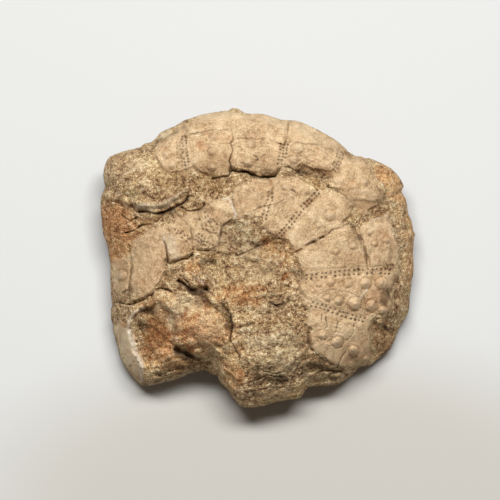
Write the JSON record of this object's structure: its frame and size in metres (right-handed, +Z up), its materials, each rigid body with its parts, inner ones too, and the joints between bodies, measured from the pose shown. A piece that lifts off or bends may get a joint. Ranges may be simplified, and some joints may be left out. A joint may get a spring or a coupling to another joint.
{
  "type": "fossil sea urchin",
  "caption": "Crushed round fossil sea urchin in sandy limestone, lying flat, with raised plates, tubercles, pore rows, cracks and a broken matrix lump.",
  "frame": {"origin": "middle of the rock's outline seen from above, on its resting face", "axes": "+Z up towards the side with the plates, +X along the longest side to the right in the picture, +Y to the far side at the top of the picture"},
  "size_m": [0.0788, 0.0748, 0.0246],
  "materials": {
    "fossil_limestone": "dry, matt and grainy"
  },
  "bodies": {
    "root": {"fossil_urchin": "fossil_limestone"}
  },
  "joints": []
}
